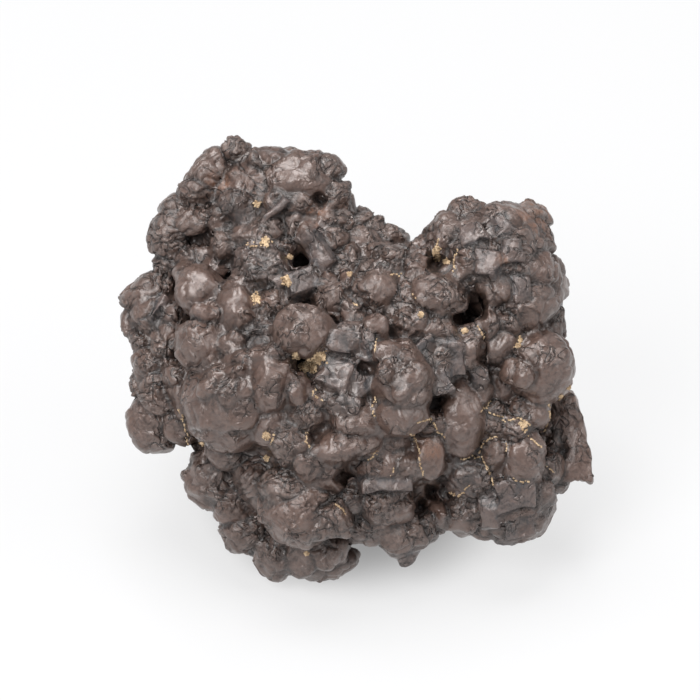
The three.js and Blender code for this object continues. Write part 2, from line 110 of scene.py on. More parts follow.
def add_lump(row, seed):
    """A ball of one kind: across, up, out, half width, half height, half depth, turn in degrees."""
    kind, across, up, out, width, height, depth, turn = row
    splits = 5 if max(width, height) >= LARGE else 4
    ball = bmesh.new()
    bmesh.ops.create_icosphere(ball, subdivisions=splits, radius=1)
    for vert in ball.verts:
        vert.co *= wobble(vert.co, seed, WOBBLE[kind])
    place = Matrix.Translation((across, up, out)) @ Matrix.Rotation(math.radians(turn), 4, "Z")
    add_form(ball, kind, place, (width, height, depth), False)


def add_block(centre, half, angles, kind="cubic"):
    """A cube or slab that stands out of the growth, with its edges worn round."""
    cube = bmesh.new()
    bmesh.ops.create_cube(cube, size=2)
    turned = Euler([math.radians(angle) for angle in angles]).to_matrix().to_4x4()
    add_form(cube, kind, Matrix.Translation(centre) @ turned, half, True)


def add_cubes(row, seed):
    """The small cubes on a cubed lump's open side, each tipped outwards."""
    across, up, out, width, height, depth = row[1:7]
    side = CUBES["side"] * min(width, height) / 2
    for i in range(CUBES["count"]):
        angle = i * GOLDEN_ANGLE + seed
        spread = CUBES["spread"] * math.sqrt((i + CUBES["first"]) / CUBES["count"])
        centre = (
            across + width * CUBES["reach"] * spread * math.cos(angle),
            up + height * CUBES["reach"] * spread * math.sin(angle),
            out + depth * CUBES["reach"] * math.sqrt(1 - spread * spread),
        )
        lean = CUBES["lean"] * spread
        angles = (-lean * math.sin(angle), lean * math.cos(angle), CUBES["turn"] * i)
        add_block(centre, (side, CUBES["tall"] * side, side), angles)


def grow(rows):
    """Adds lumps to the growth, with the cubes of the cubed ones."""
    for row in rows:
        seed = grow.count
        grow.count += 1
        add_lump(row, seed)
        if row[0] == "cubic":
            add_cubes(row, seed)


grow.count = 0

CROWN = [
    ("wrinkled", -25, 44.2, 0, 3.6, 4, 5, 10),  # the peak
    ("wrinkled", -22.4, 42, 1, 3.6, 3.4, 5, 0),
    ("ribbed", -30.6, 39.4, 0, 7, 4.4, 7, 53),  # ribbed column
    ("ribbed", -33.2, 36.4, 2.5, 4.4, 2.9, 5, 8),
    ("ribbed", -33.4, 30.2, 2, 5.2, 3, 5.5, 5),
    ("ribbed", -31, 31.5, -4, 8, 9, 7, 0),  # behind its ledges
    ("ribbed", -37.4, 32.2, -1, 3.9, 3.7, 5, 0),
    ("ribbed", -38.8, 26.6, 0, 4.7, 6.5, 6, 8),  # dark fan
    ("ribbed", -39.7, 22, 0, 2.9, 3.3, 4, 0),
    ("ribbed", -36.8, 20.2, 1, 2.7, 2.5, 4, 0),
    ("wrinkled", -33.4, 21.6, 3, 4.2, 3.4, 5, 0),
    ("smooth", -28.8, 20, 8, 2.8, 2.8, 3.5, 0),
    ("wrinkled", -26.8, 25.2, 7, 3.8, 4.2, 5, -10),
    ("wrinkled", -28.2, 30, 5, 3.4, 4.4, 5, 0),
    ("smooth", -11.6, 38.4, 3, 9.6, 7.4, 9, 0),  # the crown nodule
    ("smooth", -16.2, 42.6, 3, 6, 3.2, 6, 0),
    ("wrinkled", -19.6, 41.6, 2, 5, 3.8, 6, 0),
    ("wrinkled", -6.2, 40.2, 3, 4.6, 4.4, 6.5, -20),
    ("wrinkled", -5, 35, 6, 4.2, 4.4, 5, 0),
    ("wrinkled", -2.6, 33.8, 3, 2.8, 3, 4, 0),
    ("wrinkled", -13.4, 33.4, 6.5, 7, 4.6, 5.5, 0),
    ("wrinkled", -22, 36.4, 2, 8, 7, 7.5, 0),
    ("cubic", -24.6, 33.6, 7, 4.2, 4, 4.5, 0),
    ("wrinkled", -19.4, 27.4, 9.5, 6.2, 3.8, 5, 8),
    ("wrinkled", -13.2, 28.8, 8.5, 3.6, 3.8, 4, 0),
    ("wrinkled", -16, 24.4, 10, 4.6, 3, 4, 0),
    ("smooth", -9, 25.2, 10, 3, 5.6, 4.5, 33),  # smooth ridge
    ("wrinkled", -4.6, 25.4, 8.5, 3.6, 5.4, 5, 30),
    ("wrinkled", -5.6, 29.8, 6.5, 5.4, 3.6, 5, -5),
    ("wrinkled", -1.8, 21.6, 9.5, 4, 4.4, 5, 0),
    ("wrinkled", 1.4, 30.6, -1, 2.8, 2.9, 5, 0),  # shoulder
    ("wrinkled", 3.4, 29, -1, 3.8, 3, 5, 0),
    ("wrinkled", 7, 26.9, -1, 4.4, 3.2, 6, -12),
    ("wrinkled", 10.4, 23.6, 0, 3.6, 2.8, 5, 0),
    ("wrinkled", 1, 26, 4.5, 4.2, 3.6, 5, 0),
    ("wrinkled", 4.8, 22.8, 7.5, 4, 3.6, 5, 0),
    ("cubic", -19.3, 20, 12.5, 6.2, 6.2, 6.5, 0),  # cubed nodule
]
grow(CROWN)

# The left flank: a striped cap, a bowl-shaped lump with a bright rim, and glossy smooth knobs that
# stand out of the same iron oxide, polished by blown sand.
LEFT_FLANK = [
    ("ribbed", -43.6, 15.2, -1, 6.2, 3.8, 6, 25),  # striped cap
    ("wrinkled", -42.4, 10.4, 1.5, 4.8, 5.2, 5.5, 0),
    ("wrinkled", -37.4, 10.4, 3, 3.6, 4.6, 5, 0),
    ("wrinkled", -46.4, 9, -3, 3, 5, 5, 12),
    ("wrinkled", -46.2, 13, -3, 3, 3.4, 4.5, 0),
    ("wrinkled", -44.4, 5, -1.5, 3.6, 3.6, 5, 0),
    ("wrinkled", -39, 4.4, 5.5, 3.8, 4.6, 5, 15),
    ("smooth", -37.6, -1.8, 9, 2.9, 2.8, 3.5, 0),
    ("wrinkled", -42.8, 0, 1, 4.2, 4, 5, 0),
    ("wrinkled", -44.8, -4, -1.5, 3.1, 3.5, 4.5, 0),
    ("ribbed", -41.4, -6.4, 4, 3.7, 4.8, 4, 0),
    ("smooth", -42, -11.6, -1, 6.2, 6.9, 6.5, -10),  # bowl-shaped lump
    ("wrinkled", -36.6, -12.4, 3, 4.4, 4.6, 5, 0),
    ("smooth", -39, 0, 6, 1.9, 5.2, 4, 15),
    ("smooth", -36.6, -7.4, 8, 2, 5.2, 4, 16),
    ("smooth", -33.4, -12.8, 9, 2, 4.4, 4, 36),
    ("smooth", -34.8, 19, 7.5, 3.6, 3, 4.5, 0),
    ("smooth", -32.6, 15.6, 12, 5.4, 5.6, 6, 0),
    ("smooth", -29.8, 10, 15.5, 4.8, 3.6, 5, 0),
    ("smooth", -24.2, 11, 17, 4.6, 5.8, 5.5, 8),
    ("smooth", -24.4, 15.8, 14.5, 3.4, 3, 4, 0),
    ("smooth", -31.4, 4.2, 15.5, 6.6, 6.4, 6.5, 0),
]
grow(LEFT_FLANK)

# The heart of the left half: the largest nodule, round and glossy, with small flat spots on its top
# and an egg-shaped knob beside it. Both are iron oxide, grown into the lumps around them.
LEFT_HEART = [
    ("smooth", -25.6, -7.6, 14, 10.7, 9.7, 12.5, -10),  # the largest nodule
    ("smooth", -28.8, -1.6, 23, 2.2, 2, 2.4, 0),
    ("smooth", -30, -5.2, 23.5, 2.4, 2.8, 2.4, 0),
    ("smooth", -26, -6.4, 25, 2.8, 3, 2.6, 0),
    ("smooth", -22.6, -5, 24.6, 2.8, 2.4, 2.6, 20),
    ("smooth", -24.2, -1.4, 24, 3.2, 2.4, 2.6, 0),
    ("smooth", -23, 0.8, 21.5, 4.2, 2.6, 4, 0),
    ("smooth", -26, -13.4, 16.5, 7.4, 5, 7, 0),
    ("smooth", -17.8, -11.8, 17.5, 5.2, 6, 7, 0),
    ("smooth", -17.2, -2.8, 22.5, 5.2, 7, 7, 0),
    ("smooth", -17.2, 2.2, 23.5, 4.2, 2.6, 4.5, 0),
    ("cubic", -19.4, 6.4, 19, 4.4, 3.4, 4, 25),
    ("wrinkled", -24.6, 4.6, 19.5, 3.8, 3.2, 4, 0),
    ("wrinkled", -16.8, 12.2, 16, 4.2, 3.4, 5, 0),
]
grow(LEFT_HEART)

# The centre: the round ball, grey cubes that were pyrite once, and the tall shiny nodule. All are
# iron oxide now, and they hold together where they grew into each other.
CENTRE = [
    ("smooth", -10.8, 7.1, 24.5, 6.1, 6.1, 6.2, 0),  # the round ball
    ("wrinkled", -4.6, 13.4, 15.5, 4, 5.4, 5, 0),
    ("cubic", -11.4, 16.8, 13.5, 4.6, 3.4, 4.5, 20),
    ("wrinkled", -0.6, 11.4, 19, 2.7, 2.6, 3.5, 0),
    ("wrinkled", -1.6, 16, 15, 3.2, 3.6, 4, 0),
    ("wrinkled", 4.2, 15.2, 16, 5.6, 5, 6, 0),
    ("wrinkled", 8, 21, 10, 5.8, 4.2, 6, 0),
    ("wrinkled", 2.8, 19.6, 12, 3.8, 3.2, 4, 0),
    ("smooth", 4.2, 7.6, 22.5, 3.2, 3.2, 3.6, 0),
    ("cubic", -0.8, 4, 22, 5.6, 5.4, 5.5, 0),
    ("cubic", -3.4, -2.6, 22, 5, 5, 5, 0),
    ("cubic", -1.8, -7.6, 22, 5.6, 4, 5.5, 0),
    ("smooth", 9.9, -4.2, 22.5, 6.2, 9.8, 9, 4),  # the tall shiny nodule
    ("smooth", 6.8, -1.2, 29.5, 2.6, 3.4, 2.6, 0),
    ("smooth", 11.8, -2.2, 29.5, 3.4, 3.2, 2.6, 0),
    ("smooth", 9.4, -5.8, 30, 2.4, 2.2, 2.2, 0),
    ("smooth", 6.6, 3, 28, 2.8, 2.2, 2.4, 0),
    ("smooth", 9.6, -9.6, 23, 5.9, 5.4, 7.5, 0),
    ("smooth", 0.8, -11.4, 21.5, 6.2, 4.2, 6, 0),
    ("wrinkled", -9.4, -9.4, 20.5, 5.6, 3.8, 5.5, 0),
    ("smooth", -12, -5, 23.5, 2.9, 3.7, 4, 0),
    ("wrinkled", -6.2, -7, 21.5, 3.6, 3.6, 4.5, 0),
    ("smooth", -1.8, -16.6, 19.5, 8.8, 4.2, 6.5, 16),
    ("wrinkled", -13.6, -16.2, 19.5, 4.6, 4.9, 5.5, 0),
    ("wrinkled", -9.6, -20.2, 19.5, 4, 3.6, 4.5, 0),
    ("smooth", -5.4, -23.2, 16.5, 4.2, 3.8, 5.5, 0),
    ("smooth", 22, -10.6, 15.5, 4.5, 8.6, 5.5, 0),  # long slab
    ("wrinkled", 23.1, 3.4, 16.5, 4.6, 4.8, 5.5, 0),
    ("wrinkled", 25.6, -4.4, 14.5, 3, 4.2, 4, 0),
    ("wrinkled", 16.8, 14.2, 16.5, 6.4, 5.2, 7, 0),
    ("wrinkled", 9.8, 13.6, 15.5, 3.6, 4.4, 5, 0),
    ("wrinkled", 11.4, 8.6, 18.5, 5, 3.8, 5, 0),
    ("wrinkled", 16.4, 7.4, 18, 5.2, 3.8, 5, 0),
    ("wrinkled", 16.4, 1.2, 18, 5.4, 5, 6, 0),
    ("wrinkled", 12.8, 19.6, 12, 4.6, 4, 5, 0),
    ("wrinkled", 13.8, 23.2, 7, 3.4, 3.8, 5, 0),
    ("wrinkled", 19, 19.8, 9.5, 3.8, 4, 5, 0),
    ("wrinkled", 15.6, -12.4, 17, 3.4, 3.4, 4.5, 0),
]
grow(CENTRE)

# The top on the right: the large head, covered with the square faces of cubes grown together. Its
# iron oxide took the shape of the pyrite cubes that it replaced.
RIGHT_TOP = [
    ("wrinkled", 29.2, 21.6, 7, 12, 12, 12, 0),  # the large cubed head
    ("wrinkled", 19.6, 25.6, 6.5, 5.4, 6.4, 7, 0),
    ("wrinkled", 24.2, 31.8, 4, 4.8, 3, 6, 0),
    ("wrinkled", 30.4, 31.4, 4, 5.4, 2.8, 6, 0),
    ("wrinkled", 36.6, 30.4, 3, 4.6, 3.8, 6, 0),
    ("wrinkled", 38, 25.8, 5.5, 3.8, 5.4, 6, 0),
    ("wrinkled", 23.8, 21.4, 15, 4, 4, 5, 0),
    ("smooth", 37.4, 20.2, 11, 4.8, 4.4, 5.5, 0),
    ("wrinkled", 29.4, 15.6, 14.5, 5, 4, 5, 0),
    ("wrinkled", 35, 12.4, 11.5, 7.2, 5, 7, 0),
    ("wrinkled", 41, 16.8, 3.5, 3.4, 7.2, 6.5, 0),
    ("wrinkled", 41, 9.4, 3, 3.6, 4.8, 6, 0),
    ("wrinkled", 27.7, 8.4, 15.5, 3, 3.8, 4.5, 0),
    ("wrinkled", 31.2, 8.6, 14.5, 3.2, 3.2, 4, 0),
    ("wrinkled", 30.2, 3.8, 14, 4.2, 3.8, 4.5, 0),
]
grow(RIGHT_TOP)

# The right-hand side: a ball and the knobs under it, in front of the thin wedge. They are iron
# oxide, grown onto the head above them.
RIGHT_SIDE = [
    ("smooth", 38.1, -0.2, 11, 8, 7.9, 8.5, 0),  # the right-hand ball
    ("smooth", 34.9, -1.6, 16.5, 4.6, 3.6, 3.6, 0),
    ("smooth", 29.8, -4.2, 9.5, 3.6, 5.6, 5.5, 15),
    ("smooth", 35.6, -9.8, 9.5, 5.4, 4.6, 5.5, 0),
    ("wrinkled", 29, -9, 11.5, 3.2, 2.8, 3.5, 0),
    ("wrinkled", 28.4, -13.2, 12, 2.8, 3.4, 4, 0),
    ("wrinkled", 42.2, -16.5, -2, 4, 7, 5, 12),
    ("wrinkled", 42, -24.6, -2, 3.6, 2.8, 4.5, 0),
]
grow(RIGHT_SIDE)

# The low right cluster: banded and faceted knobs of iron oxide, with sand between them. They grew
# against each other and are flattened where they meet.
RIGHT_FOOT = [
    ("wrinkled", 33, -28.6, 2, 9, 9.2, 9.5, 0),  # low right cluster
    ("smooth", 34.7, -18.8, 10, 5.6, 6.4, 6.5, 0),
    ("ribbed", 33, -13.6, 11.5, 3.4, 3.6, 5, 0),
    ("wrinkled", 28.6, -18.4, 11.5, 3.2, 4.5, 5, 0),
    ("wrinkled", 32, -34.4, 1.5, 6, 3.4, 6, 0),
    ("wrinkled", 38, -27.6, 3.5, 4, 6.4, 6, -15),
    ("cubic", 24, -22.6, 9.5, 5.8, 5.4, 6, 0),
    ("wrinkled", 22.8, -30.6, 3.5, 6, 5, 6.5, 0),
    ("wrinkled", 28, -33, 2, 4, 4.2, 5.5, 0),
    ("smooth", 18, -30.4, 5.5, 3, 3, 4, 0),
    ("smooth", 15.4, -17.6, 15.5, 3.8, 6.5, 5.5, 3),  # oval with sand round it
    ("wrinkled", 39.6, -21.8, 2.5, 4.4, 4.2, 5.5, 0),
]
grow(RIGHT_FOOT)

# The lower face: a broad shield with folds on its upper left, and the knobs on both sides of it
# that run down to the ground, all of the same iron oxide and grown together.
LOWER_FACE = [
    ("wrinkled", 6.9, -20, 12.5, 7.4, 6.4, 8.5, 0),
    ("wrinkled", 6.3, -16, 17, 5.6, 3.6, 4.5, 0),
    ("wrinkled", 10.4, -21, 16.5, 4.4, 3.6, 4.5, 0),
    ("wrinkled", 6.4, -29.2, 12, 6.4, 4.6, 6, 0),
    ("wrinkled", 9.8, -35.2, 6, 5.6, 5.4, 6, 0),
    ("wrinkled", 14.8, -33.8, 4, 3.8, 3.8, 5, 0),
    ("wrinkled", 1.6, -32.4, 7, 4.8, 4.2, 5.5, 0),
    ("wrinkled", -0.6, -28, 12, 4.4, 3.6, 5, 0),
    ("wrinkled", 3.2, -35.8, 4, 4.2, 3, 5, -15),
    ("wrinkled", -29.6, -23.6, 1.5, 6.4, 7.3, 8, 8),
    ("wrinkled", -26.6, -18.4, 7.5, 5.4, 4, 5.5, 0),
    ("wrinkled", -25.4, -28.6, 3, 4.8, 6, 6, 0),
    ("wrinkled", -23.2, -33.8, 0, 5.6, 5.8, 7, 30),
    ("ribbed", -21, -24.8, 9.5, 4, 5.4, 6, 15),
    ("wrinkled", -11.2, -29, 11, 9.7, 8.8, 10.5, -20),  # broad shield
    ("ribbed", -14.4, -25.6, 16.5, 5.4, 5, 5, 0),
    ("wrinkled", -6.6, -31.4, 14, 6.2, 5.6, 6.5, 0),
    ("wrinkled", -16.8, -39, 0, 5.2, 6, 7, 10),
    ("wrinkled", -20.6, -36.4, -2, 4.2, 4.4, 6, 0),
    ("wrinkled", -11, -39.4, 3, 4.2, 5, 5.5, 0),
    ("wrinkled", -6, -39.2, 3, 5.6, 3.8, 6, 12),
    ("wrinkled", -6.6, -42.2, -4, 7.8, 3.6, 6.5, 12),  # front foot
]
grow(LOWER_FACE)

# The unseen side: round bodies with knobs all over their backs, and two feet under them. It is the
# same iron oxide, grown out from the stone's middle on this side too.
# Each body: across, up, out, half width, half height, half depth and its number of knobs.
BACKS = [
    (0, -5, -7, 36, 29, 26, 58),
    (-21, 27, -7, 16, 15, 14, 20),
    (28, 15, -7, 11, 11, 14, 12),
    (-34.5, -1, -5, 7, 13, 12, 12),
    (-13, -31, -7, 12, 9, 12, 10),
    (30, -20, -8, 9, 10, 12, 12),
    (0, -7.5, -16.7, 27, 17, 18, 22),
]
KNOB = {"size": 5, "spread": 2, "taller": 0.2, "turn": 40, "sunk": 0.9, "wrap": 0.1}
BACK_FEET = [
    ("smooth", -19, -15.7, -32.7, 7, 7, 7, 0),
    ("wrinkled", -13.6, -13, -31, 6, 5, 6, 0),
    ("wrinkled", -23.4, -11, -29.5, 5.5, 6, 6, 0),
    ("smooth", 19, -16.8, -31.3, 7, 7, 7, 0),
    ("wrinkled", 13.4, -13.5, -30.5, 6, 5.5, 6, 0),
    ("wrinkled", 23.4, -12.6, -28, 5.5, 6, 6, 0),
]


def knobs_behind(body, seed):
    """The knobs on a body's back, spread by the golden angle from its rim to its middle."""
    across, up, out, width, height, depth, count = body
    for i in range(count):
        back = (i + 0.5) / count - KNOB["wrap"]
        ring = KNOB["sunk"] * math.sqrt(1 - back * back)
        angle = i * GOLDEN_ANGLE + seed
        size = KNOB["size"] + KNOB["spread"] * math.sin(5.1 * i + seed)
        yield (
            "wrinkled",
            across + width * ring * math.cos(angle),
            up + height * ring * math.sin(angle),
            out - depth * KNOB["sunk"] * back,
            size,
            size * (1 + KNOB["taller"] * math.sin(2.3 * i + seed)),
            size,
            KNOB["turn"] * i,
        )


grow([("wrinkled", *body[:6], 0) for body in BACKS])
for seed, body in enumerate(BACKS):
    grow(knobs_behind(body, seed))
grow(BACK_FEET)

# The cubes, slabs and ribs that stand out between the lumps, each a crystal that was pyrite once
# and is iron oxide now, rooted in the growth around it.
# Each block: across, up, out, half width, half height, half depth, turn, swing and tip in degrees.
BLOCKS = [
    (-17.4, 31.6, 11.5, 4.4, 0.9, 2.5, 44, 0, 0),  # slanting rib below the crown
    (-7.6, 24.4, 12.5, 2.2, 4.6, 3, 33, -25, 0),
    (-40.6, 11.4, 4.5, 2.4, 3.6, 2.6, -35, 20, 0),
    (-11.2, 17, 16, 3.4, 2.4, 2.4, 20, 15, -15),
    (-2.4, 4.4, 25.4, 2.4, 2.4, 2.4, -12, 0, -10),  # dark cubes in the middle
    (2.4, 4, 24.8, 1.6, 2.8, 2.6, -12, 0, 0),
    (-3.6, -2.4, 24.6, 3.2, 3, 3, -22, -15, -15),
    (1.2, -3.6, 24.4, 1.8, 2.2, 2.6, -10, 10, 0),
    (-1.4, -7.6, 25.2, 2.6, 1.8, 2.6, -14, 0, 10),
    (15.6, -0.8, 20.5, 2.4, 6, 3.4, 27, 15, 0),
    (20, 2, 19.5, 2.6, 3.8, 3, 10, 0, 10),
    (26, -2.4, 16.5, 1.7, 2.4, 2.4, 25, 0, 0),
    (24.8, 26.6, 15.8, 3, 2.4, 3, 12, -10, -25),  # cubes of the head
    (30, 28, 14.6, 2.8, 2.4, 3, 35, 0, -30),
    (32.4, 23.2, 17.2, 2.1, 2.8, 2.6, 3, 12, -8),
    (27.2, 21, 18.2, 2.6, 2.8, 2.6, -5, -4, 0),
    (34, 15.2, 16, 2, 2.8, 2.6, 5, 20, 0),
    (42.6, 12.4, -1, 0.9, 3.6, 3.4, -5, 0, 0),
    (33, -26.4, 9.8, 4, 3.4, 3.4, 10, 8, 12),  # facets of the low right cluster
    (28.2, -29, 7, 1.8, 5.4, 5, 6, -12, 0),
    (34, -32.8, 7, 3.4, 2.6, 3, 8, 6, 30),
    (6.1, -25, 16, 5.4, 1.6, 3.6, 2, 0, 0),  # grey bar
]
for across, up, out, width, height, depth, turn, swing, tip in BLOCKS:
    add_block((across, up, out), (width, height, depth), (tip, swing, turn), "crystal")

# The wedge on the right, a flat plate of iron oxide with thin edges, and the tooth that points
# down below the middle. Both grew out of the lumps behind them.
WEDGE_OUTLINE = [
    (39, -6),
    (44.4, -4.6),
    (47, -6.6),
    (47.8, -12.8),
    (49.4, -19),
    (50.4, -23.6),
    (49.6, -25),
    (45, -24.4),
    (42, -23.4),
    (38.6, -13),
]
WEDGE = {"middle": (44.5, -15, -1), "half": (5.5, 10), "thickness": 5, "rim": 0.9}
TOOTH = {"middle": (11, -37.6, 4), "half": (7.6, 5, 4.6), "sides": 7, "tip": 0.18, "lean": -8}

half_thickness = WEDGE["thickness"] / 2 + WEDGE["rim"]
blade = bmesh.new()
middle = Vector(WEDGE["middle"])
rim = [blade.verts.new((x, y, middle.z - half_thickness)) for x, y in WEDGE_OUTLINE]
raised = bmesh.ops.extrude_face_region(blade, geom=[blade.faces.new(reversed(rim))])["geom"]
top = [part for part in raised if isinstance(part, bmesh.types.BMVert)]
bmesh.ops.translate(blade, verts=top, vec=(0, 0, 2 * half_thickness))
bmesh.ops.recalc_face_normals(blade, faces=blade.faces)
half = (*WEDGE["half"], half_thickness)
bmesh.ops.translate(blade, verts=blade.verts, vec=-middle)
bmesh.ops.scale(blade, verts=blade.verts, vec=[1 / side for side in half])
add_form(blade, "striped", Matrix.Translation(middle), half, True)

point = bmesh.new()
bmesh.ops.create_cone(
    point, cap_ends=True, segments=TOOTH["sides"], radius1=1, radius2=TOOTH["tip"], depth=2
)
bmesh.ops.rotate(point, matrix=Matrix.Rotation(math.radians(90), 3, "X"), verts=point.verts)
hang = Matrix.Translation(TOOTH["middle"]) @ Matrix.Rotation(math.radians(TOOTH["lean"]), 4, "Z")
add_form(point, "crystal", hang, TOOTH["half"], False)

# The growth as one stone: its lumps fuse without a joint, folds and ribs run over them, and the
# lowest are worn flat by the ground. It is iron oxide throughout, with one closed skin.
VOXEL = 0.34
SMOOTHING = {"factor": 0.5, "iterations": 5}
DRAW = {"back": 0.78, "steps": 2}
RELAXING = {"factor": 0.5, "iterations": 2}
SEAM = {"width": 0.45, "depth": 0.75, "calm": 0.7}
# The lumps' slight warp, in two sizes of wave: waves a millimetre, and how far in millimetres.
WARP = [(0.19, 0.9), (0.42, 0.35)]
WARP_SEED = 5
# The relief of a lump, in millimetres, with its waves a millimetre.
GRAIN = {"wave": 1.7, "height": 0.08}
SWELLING = {"wave": 0.3, "height": 0.5}
STRIPES = {"height": 0.13, "turns": 4.4, "warp_wave": 0.25, "warp": 3}
RIBS = {"apart": 1.9, "warp": 1.2, "steep": 1.8, "level": 0.6, "height": 0.7}
FOLDS = {"warp_wave": 0.25, "warp": 1.6, "rings": 0.5, "spokes": 1.2, "steep": 4, "level": 0.7}
PLATES = {"groove": 0.15, "level": 0.8, "height": 0.3}
CRUMPLING = {"wave": 0.17, "base": 0.1, "patchy": 1.5, "upper": 0.55}
SEAM_WAVE = 0.16
UPPER_SIDE = Vector((-0.3, 0.7, 0.65)).normalized()
# Deep dark holes between lumps: across, up, half width, half height and depth.
PITS = [
    (17, 21.6, 2.2, 1.9, 5),
    (26.3, 12, 1.3, 3.2, 5),
    (26.5, 2.7, 1.6, 3.2, 3),
    (16.6, -9.9, 2, 3, 3),
    (-7.8, 34.7, 1.8, 1.5, 2.5),
    (-12.2, 21.6, 1.8, 2.2, 3),
    (-2.1, -23.7, 2.8, 2, 5),
    (16.2, -26.7, 2.2, 1.8, 3),
    (-33, 33.2, 3.8, 1, 2.5),
    (-32.4, 27.4, 3.4, 1, 2.5),
]
THINNED = {"faces": 185000, "factor": 0.006, "seen": 0.5, "unseen": 1.0, "seen_from": -0.1}
# How far a form's own reach goes past its size, and a distance that counts as out of reach.
REACH = {"share": 1.5, "margin": 2}
FAR_OFF = 9


def applied(made):
    """Applies an object's modifiers to its mesh."""
    shown = made.evaluated_get(bpy.context.evaluated_depsgraph_get())
    old = made.data
    made.data = bpy.data.meshes.new_from_object(shown)
    made.modifiers.clear()
    bpy.data.meshes.remove(old)


def smoothed(made, settings):
    """Smooths an object's mesh."""
    smoothing = made.modifiers.new("smoothed", "SMOOTH")
    smoothing.factor = settings["factor"]
    smoothing.iterations = settings["iterations"]
    applied(made)


def points_of(mesh, what="co"):
    """A mesh's points or normals as rows of an array."""
    values = np.empty(len(mesh.vertices) * 3, np.float32)
    source = mesh.vertices if what == "co" else mesh.vertex_normals
    source.foreach_get("co" if what == "co" else "vector", values)
    return values.reshape(-1, 3)


def owners(points):
    """Each point's own form, and how much further off the next form is, in millimetres."""
    nearest = np.full(len(points), FAR_OFF, np.float32)
    second = np.full(len(points), FAR_OFF, np.float32)
    owner = np.zeros(len(points), int)
    for i, (_, place, half, boxy) in enumerate(forms):
        middle = np.array(place.translation, np.float32)
        reach = REACH["share"] * max(half) + REACH["margin"]
        near = np.flatnonzero(np.abs(points - middle).max(1) < reach)
        local = (points[near] - middle) @ np.array(place.to_3x3(), np.float32)
        if boxy:
            off = (np.abs(local) - np.array(half, np.float32)).max(1)
        else:
            share = np.linalg.norm(local / np.array(half, np.float32), axis=1) + 1e-6
            off = np.linalg.norm(local, axis=1) * (1 - 1 / share)
        closer = off < nearest[near]
        second[near] = np.where(closer, nearest[near], np.minimum(second[near], off))
        nearest[near] = np.where(closer, off, nearest[near])
        owner[near[closer]] = i
    return owner, second - nearest


def smoothstep(x, low, high):
    """0 below low, 1 above high, and an even slope between them."""
    t = np.clip((x - low) / (high - low), 0, 1)
    return t * t * (3 - 2 * t)


def fold(q, local, shift):
    """Folds that ring a lump's top: flat backs with narrow grooves between them, 0 to 1."""
    around = math.hypot(local.x, local.y) + 1e-6
    warp = noise.noise(q * FOLDS["warp_wave"] + shift) * FOLDS["warp"]
    ring, spokes = around * FOLDS["rings"] + warp, FOLDS["spokes"]
    at = Vector((ring, local.x / around * spokes, local.y / around * spokes)) + shift
    return min(abs(noise.noise(at)) * FOLDS["steep"], 1)


def facets(q, shift, size, tilt, metric="CHEBYCHEV"):
    """Plates of one size, each tipped its own way, with narrow grooves between them."""
    at = (q + shift * 9) / size
    far, seeds = noise.voronoi(at, distance_metric=metric)
    lean = noise.cell_vector(seeds[0] * 17.3) - Vector((0.5, 0.5, 0.5))
    flat = min((far[1] - far[0]) / PLATES["groove"], 1)
    rise = (flat - PLATES["level"]) * PLATES["height"]
    return rise + tilt * 2 * (at - seeds[0]).dot(lean)


def crumpling(q, shift, facing):
    """How crumpled a place is, 0 to 1: most on the upper side of a lump, least on its flanks."""
    patchy = CRUMPLING["patchy"] * noise.noise(q * CRUMPLING["wave"] + shift)
    return min(max(CRUMPLING["base"] + patchy + CRUMPLING["upper"] * facing, 0), 1)


def relief(kind, q, local, shift, crumpled):
    """How far a point of a lump stands out, in millimetres."""
    grain = noise.noise(q * GRAIN["wave"] + shift) * GRAIN["height"]
    swelling = noise.noise(q * SWELLING["wave"] + shift)
    swell = swelling * SWELLING["height"]
    if kind == "crystal":
        return grain * 0.5
    if kind == "striped":
        warp = noise.noise(q * STRIPES["warp_wave"]) * STRIPES["warp"]
        stripe = STRIPES["height"] * math.sin(local.x * STRIPES["turns"] + warp)
        return stripe + swell * 0.6 + grain
    if kind == "ribbed":
        phase = local.y / RIBS["apart"] + swelling * RIBS["warp"]
        rib = min(abs(math.sin(math.pi * phase)) * RIBS["steep"], 1)
        return swell * 0.5 + (rib - RIBS["level"]) * RIBS["height"] + grain
    if kind == "cubic":
        return facets(q, shift, 3, 0.55) + grain
    folds = (fold(q, local, shift) - FOLDS["level"]) * crumpled
    plates = facets(q, shift, 5, 0.45, "DISTANCE")
    if kind == "smooth":
        return swell * 0.7 + folds * 0.3 + plates * 0.8 + grain
    return swell + folds * 0.75 + plates + facets(q, shift, 2.6, 0.35) * 0.6 * crumpled + grain


def skins_of(shape):
    """The closed skins of a mesh: the outer one, and those of pockets sealed inside the stone."""
    left = set(shape.faces)
    skins = []
    while left:
        found = [left.pop()]
        for face in found:
            for edge in face.edges:
                new = [other for other in edge.link_faces if other in left]
                if len(edge.link_faces) == 2:
                    found += new
                    left.difference_update(new)
        skins.append(found)
    return skins


with bpy.context.temp_override(active_object=lumps[0], selected_editable_objects=lumps):
    bpy.ops.object.join()
stone = lumps[0]
stone.name = "iron_oxide_growth"
fuse = stone.modifiers.new("fuse", "REMESH")
fuse.mode = "VOXEL"
fuse.voxel_size = VOXEL
smoothed(stone, SMOOTHING)

